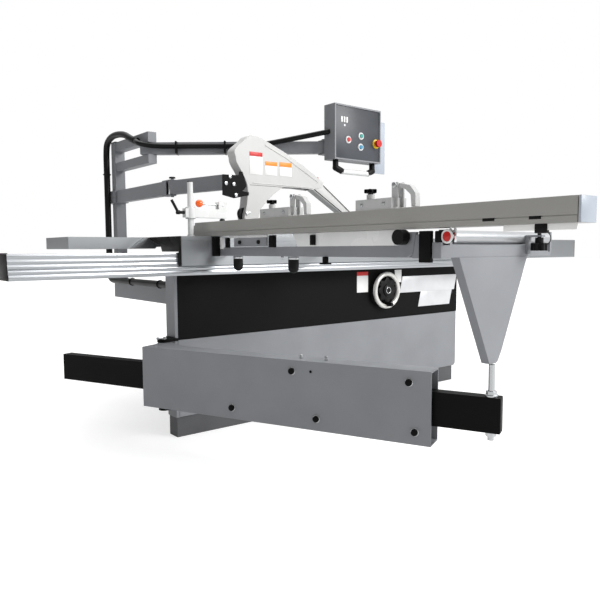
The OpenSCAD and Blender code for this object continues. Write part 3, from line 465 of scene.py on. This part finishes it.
make("fence_slots", "fence", black_nylon, [
    (block, (147.4, -1495, 898), (148.4, -1459, 906), 0.3), (block, (147.4, -1624, 898),
    (148.4, -1592, 906), 0.3)])
make("fence_tape", "fence", white_film, [
    (block, (150, -1713, 871), (154, -1520, 886.5), 0.6)])
make("fence_end_cap", "fence_extension", pale_sheet, [
    (block, (147.3, -1722.9, 886.7), (221.7, -1716.3, 949.6), 2.5)])
make("fence_scale", "fence", white_film, [
    (block, (150, -1700, 948.6), (166, 60, 949.6), 0.2)])
make("fence_foot", "fence", black_nylon, [
    (block, (146, -1640, 864), (160, -1608, 887), 2), (block, (172, 135, 888), (202, 171, 926), 2.5)])
make("splinter_bar", "fence", fence_alu, [
    (block, (176, 66, 892), (198, 150, 940), 1.5)])
for number, near in (("1", -624), ("2", -1132)):
    far = {"1": -442, "2": -978}[number]
    make("stop_knob_" + number, "stop_block_" + number, black_nylon, [
        (rod, (185, far - 34, 1001), (185, far - 34, 1008), 9, 8, 32, 1.5),
        (plate, lobed(185, far - 34, 17, 4, 5, 60), "XY", 1005, 1018, 2.5)])
    make("stop_screws_" + number, "stop_block_" + number, zinc_steel, [
        (rod, (151, y, 967), (147, y, 967), 6, None, 6, 0.8) for y in (near + 30, far - 30)])
    make("stop_hinge_cap_" + number, "stop_block_" + number, zinc_steel, [
        (rod, (169.5, near + 2, 1021), (164, near + 2, 1021), 9, None, 32, 1.5),
        (rod, (200.5, near + 2, 1021), (206, near + 2, 1021), 9, None, 32, 1.5)])

# ---- workpiece clamp ----

make("post_cap", "carriage", black_nylon, [
    (rod, (89, 0, 1122), (89, 0, 1127), 13.2, 11.5, 32, 1.5), (rod, (89, 0, 885.2), (89, 0, 894), 16.4, 14,
    32, 1.5)])
cam_ball = make("cam_ball", "clamp_cam_lever", orange_ball, [(ball, (133, 0, 1032), 17)])
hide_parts("clamp_cam_lever")
make("cam_rod", "clamp_cam_lever", zinc_steel, [
    (rod, (246, 0, 1026), (141, 0, 1031.5), 3.4, None, 24, 0), (rod, (246, -5.5, 1026), (246, 5.5, 1026), 9,
    None, 40, 1),
    (rod, (246, -16.5, 1026), (246, 16.5, 1026), 4, None, 24, 0.6), (rod, (156, 0, 1030.7),
    (146, 0, 1031.2), 6, 7, 24, 0.8)])
make("clamp_collar", "clamp_arm", zinc_steel, [
    (ring, (89, 0, 966), (0, 0, 1), 19, 3), (ring, (89, 0, 1011), (0, 0, 1), 19, 3)])
make("clamp_foot", "clamp_plunger", black_nylon, [
    (rod, (250, 0, 958), (250, 0, 966), 13, 11, 32, 2)])

# ---- swing arm ----

heads = [(639, 394), (1072, 394), (381, 231), (736, 231), (1093, 231)]
make("arm_washers", "swing_arm", zinc_steel, [
    (rod, (s, -0.2, z), (s, -2.0, z), 14, None, 40, 0.5) for s, z in heads], ON_ARM)
make("arm_bolts", "swing_arm", black_coat, [
    (rod, (s, -1.8, z), (s, -11, z), 12.4, 11, 40, 3) for s, z in heads] + [
    (rod, (714, -0.4, 398), (714, -1.2, 398), 5, None, 24, 0)], ON_ARM)
make("arm_top_pins", "swing_arm", zinc_steel, [
    (rod, (655, 42, 433), (655, 42, 449), 6, 5, 24, 1), (rod, (755, 42, 433), (755, 42, 450), 6, 5, 24, 1)],
    ON_ARM)
make("tube_end_plug", "arm_tube", black_nylon, [
    (block, (1352, 23, 256), (1358.5, 62, 363), 1.5)], ON_ARM)

# ---- blade guard ----

# The hood is one thin shell: straight underside and nose, a smooth curved back, and a mouth
# left open along the arch over the blade
straight = [(557, 988), (564, 1024), (602, 1064), (650, 1108), (710, 1147), (810, 1150), (909, 1144),
    (977, 1166),
            (985, 1189), (942, 1213), (840, 1270), (731, 1323)]
curved = [(591, 1377), (515, 1391), (470, 1358), (419, 1313), (423, 1280), (431, 1249), (474, 1182),
    (492, 1127),
          (486, 1051), (475, 976)]
through = [Vector(p) for p in [straight[-1]] + curved + [straight[0]]]
side_line = list(straight)
for k in range(len(through) - 1):
    p0, p1 = through[max(k - 1, 0)], through[k]
    p2, p3 = through[k + 1], through[min(k + 2, len(through) - 1)]
    for t in (0.25, 0.5, 0.75, 1.0):
        spot = 0.5 * (2 * p1 + (p2 - p0) * t + (2 * p0 - 5 * p1 + 4 * p2 - p3) * t * t
                      + (3 * p1 - p0 - 3 * p2 + p3) * t ** 3)
        side_line.append((spot.x, spot.y))
side_line = side_line[:-1]
bm = bmesh.new()
plate(bm, side_line, "XZ", *HOOD_SIDES, 0)
mouth = [f for f in bm.faces if len(f.verts) == 4 and 600 < f.calc_center_median().x < 905
         and f.calc_center_median().z < 1152]
bmesh.ops.delete(bm, geom=mouth, context="FACES_ONLY")
hood = finish_piece(bm, "hood_shell", "guard_hood", guard_abs)
wall = hood.modifiers.new("wall", "SOLIDIFY")
wall.thickness = HOOD_WALL
wall.offset = -1
ease = hood.modifiers.new("ease", "BEVEL")
ease.width = HOOD_EDGE
ease.segments = 3
ease.limit_method = "ANGLE"
ease.angle_limit = math.radians(40)
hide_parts("guard_hood")
make("hood_leg", "guard_hood", guard_abs, [
    (plate, [(900, 1146), (919, 1144), (1111, 1034), (1196, 985), (1268, 985), (1171, 1055), (995, 1176),
    (960, 1180)],
     "XZ", 158, 210, 4)])
make("hood_leg_seams", "guard_hood", black_nylon, [
    (rod, (925, 157, 1149), (1190, 157, 996), 2.2, None, 16, 0), (rod, (990, 157, 1172), (1250, 157, 993),
    2.2, None, 16, 0)])
make("hood_seam", "guard_hood", black_nylon, [
    (block, (505, 150.3, 1147), (905, 151.6, 1148.6), 0.2)])
make("hood_rib", "guard_hood", guard_abs, [
    (plate, [(520, 1156), (905, 1153), (955, 1186), (935, 1199), (728, 1305), (600, 1353), (600, 1347),
    (725, 1298),
             (930, 1194), (944, 1185), (902, 1159), (526, 1162)], "XZ", 148.8, 151.4, 0.9)])
make("hood_labels", "guard_hood", white_film, [
    (block, (504, 150, 1201), (582, 151.3, 1290), 0.2), (block, (598, 150, 1203), (673, 151.3, 1250), 0.2),
    (block, (689, 150, 1204), (767, 151.3, 1251), 0.2)])
make("hood_label_red", "guard_hood", red_film, [(block, (504, 150, 1291), (582, 151.3, 1311), 0.2)])
make("hood_label_orange", "guard_hood", orange_film, [
    (block, (598, 150, 1251), (673, 151.3, 1271), 0.2), (block, (689, 150, 1252), (767, 151.3, 1274), 0.2)])
make("hood_lamp", "guard_hood", red_cap, [
    (rod, (962, 176, 1200), (962, 176, 1218), 9, 7, 32, 3)])
make("hood_screws", "guard_hood", zinc_steel, [
    (rod, (500, 151.2, 1010), (500, 147, 1010), 6, None, 32, 1.2)])
make("hood_wheel_axle", "guard_hood", zinc_steel, [
    (rod, (486, 151.2, 1006), (486, 145, 1006), 10, None, 6, 1.2)])
make("bracket_screws", "guard_arm_2", zinc_steel, [
    (rod, (x, 143.5, z), (x, 137, z), 9.5, None, 32, 1.6) for x, z in ((383, 1180), (360, 1146),
    (404, 1144), (416, 1092))])
make("guard_barrel", "guard_arm_2", zinc_steel, [
    (rod, (290, 560, 1118.5), (290, 560, 1188.5), 20.6, None, 48, 0.8)])
make("guard_pivot_cap", "guard_arm_1", black_nylon, [
    (rod, (290, 560, 1202), (290, 560, 1210), 18, 15, 40, 2)])
make("guard_clamp_grip", "guard_arm_1", black_nylon, [
    (rod, (300, 1364, 1147), (300, 1372, 1147), 33, 30, 12, 2)])

# ---- control panel ----

hose("boom_conduit", "panel_boom", [(-84, 20, 1441), (-68, -42, 1421), (-20, -54, 1405), (60, -38.5, 1399),
     (300, -38.5, 1399), (480, -38.5, 1399), (600, -38.5, 1399), (750, -52, 1424), (900, -66, 1450),
     (1004, -76, 1468)],
     14, "boom_hose", ON_BOOM, ("panel_box", (640, -40, 1399), (985, -74, 1460)))
make("boom_ties", "panel_boom", black_nylon, [
    (block, (x, -55, 1357), (x + 9, 24.5, 1426), 3) for x in (150, 420)], ON_BOOM)
# The lighter side of the panel's film is a painted reflection.
make("panel_front_film", "panel_box", panel_film_with_painted_sheen, [
    (block, (1038.5, 109.6, 1324.6), (1373, 111.4, 1604.4), 0.5)])
make("panel_light_bars", "panel_box", white_film, [
    (block, (x, 108.6, 1518), (x + 11, 110, 1548), 0.5) for x in (1078, 1097, 1116)] + [
    (block, (1098, 108.6, 1497), (1109, 110, 1508), 0.5)])
make("button_bezels", "panel_box", white_coat, [
    (ring, (1130.75, 109, 1427), (0, 1, 0), 15.5, 5), (ring, (1226.75, 109, 1456), (0, 1, 0), 15.5, 5),
    (ring, (1223.75, 109, 1395), (0, 1, 0), 15.5, 5)])
make("emergency_plate", "panel_box", yellow_film, [
    (rod, (1344.75, 110, 1424), (1344.75, 104.4, 1424), 27, 25, 48, 1.2)])
make("panel_bar", "panel_box", white_coat, [
    (rod, (1084, 120, 1253), (1296, 120, 1253), 14.5, None, 40, 0)])
make("panel_bar_ends", "panel_box", black_nylon, [
    piece for top, low, bar in ((1064, 1050, 1096), (1344, 1330, 1284)) for piece in (
        (rod, (top, 140, 1318), (low, 124, 1272), 16, None, 32, 1), (ball, (low, 124, 1271), 17.5),
        (rod, (low, 124, 1271), (bar, 120, 1253), 17.5, 16.5, 32, 2))])
make("pale_back_plate", "panel_box", pale_sheet, [
    (block, (1370, 184, 1271), (1496, 190, 1573), 2), (block, (1340, 190, 1380), (1400, 196, 1480), 1)])
make("panel_swivel_cap", "panel_box", black_nylon, [
    (rod, (1061.75, 228.23, 1430), (1061.75, 228.23, 1438), 20, 17, 40, 2)])

# ---- floor, light and camera ----

floor_mat, tree, out, where = new_material("plain_pale_floor")
# Seamless paper: even, matt, almost white. It glows a little less on the saw than to the camera.
mottle = add(tree, "ShaderNodeTexNoise", {"Scale": 3.0}, {"Vector": where})
tint = add(tree, "ShaderNodeValToRGB", links={"Fac": mottle.outputs["Fac"]})
tint.color_ramp.elements[0].color = linear("BCBCBC")
tint.color_ramp.elements[1].color = linear("BEBEBE")
glow = add(tree, "ShaderNodeMath", {1: 0.4, 2: 0.24},
    {0: add(tree, "ShaderNodeLightPath").outputs["Is Camera Ray"]},
           operation="MULTIPLY_ADD")
paper = add(tree, "ShaderNodeBsdfPrincipled", {"Roughness": 1.0, "Specular IOR Level": 0.0,
            "Emission Color": (1, 1, 1, 1)}, {"Base Color": tint.outputs["Color"],
            "Emission Strength": glow.outputs["Value"]})
tree.links.new(paper.outputs["BSDF"], out.inputs["Surface"])
bm = bmesh.new()
bmesh.ops.create_grid(bm, x_segments=2, y_segments=2, size=40)
mesh = bpy.data.meshes.new("floor")
bm.to_mesh(mesh)
bm.free()
floor = bpy.data.objects.new("floor", mesh)
mesh.materials.append(floor_mat)
bpy.context.scene.collection.objects.link(floor)

scene = bpy.context.scene
scene.view_settings.view_transform = "Standard"
world = bpy.data.worlds.new("studio")
scene.world = world
world.use_nodes = True
tree = world.node_tree
tree.nodes.clear()
path = add(tree, "ShaderNodeLightPath")
toward = add(tree, "ShaderNodeSeparateXYZ", {}, {"Vector": add(tree,
    "ShaderNodeTexCoord").outputs["Generated"]})
height = add(tree, "ShaderNodeMapRange", {"From Min": 0.0, "From Max": 0.7, "To Min": 0.32, "To Max": 1.05},
             {"Value": toward.outputs["Z"]})
across = add(tree, "ShaderNodeMapRange", {"From Min": -0.8, "From Max": 0.4, "To Min": 0.36, "To Max": 1.25},
             {"Value": toward.outputs["X"]})
level = add(tree, "ShaderNodeMath", {}, {0: height.outputs["Result"], 1: across.outputs["Result"]},
            operation="MULTIPLY")
fill = add(tree, "ShaderNodeBackground", {"Color": (1, 1, 1, 1)}, {"Strength": level.outputs["Value"]})
seen = add(tree, "ShaderNodeBackground", {"Color": (1, 1, 1, 1), "Strength": 1.0})
both = add(tree, "ShaderNodeMixShader", {}, {"Fac": path.outputs["Is Camera Ray"]})
tree.links.new(fill.outputs["Background"], both.inputs[1])
tree.links.new(seen.outputs["Background"], both.inputs[2])
add(tree, "ShaderNodeOutputWorld", {}, {"Surface": both.outputs["Shader"]})


def lamp(name, place, aim, size, power):
    """A soft square studio light."""
    data = bpy.data.lights.new(name, "AREA")
    data.shape = "SQUARE"
    data.size = size
    data.energy = power
    obj = bpy.data.objects.new(name, data)
    bpy.context.scene.collection.objects.link(obj)
    obj.location = place
    obj.rotation_euler = (Vector(aim) - Vector(place)).to_track_quat("-Z", "Y").to_euler()


lamp("key", (3.0, -6.5, 4.0), (0, 0, 0.6), 3.5, 400)
sun = bpy.data.objects.new("overhead", bpy.data.lights.new("overhead", "SUN"))
scene.collection.objects.link(sun)
sun.data.energy = 1.5
sun.data.angle = math.radians(50)
sun.rotation_euler = (math.radians(-12), math.radians(8), 0)

camera = bpy.data.objects.new("camera", bpy.data.cameras.new("camera"))
scene.collection.objects.link(camera)
yaw, pitch, roll = math.radians(38.4789), math.radians(4.7078), math.radians(-0.2898)
ahead = Vector((math.sin(yaw) * math.cos(pitch), math.cos(yaw) * math.cos(pitch), -math.sin(pitch)))
level = Vector((math.cos(yaw), -math.sin(yaw), 0))
above = level.cross(ahead)
right = level * math.cos(roll) + above * math.sin(roll)
up = above * math.cos(roll) - level * math.sin(roll)
camera.matrix_world = Matrix.Translation((-2.2115, -2.9247, 0.829)) @ Matrix((right, up,
    -ahead)).transposed().to_4x4()
camera.data.sensor_width = 36
camera.data.lens = 37.13
camera.data.clip_end = 200
scene.camera = camera
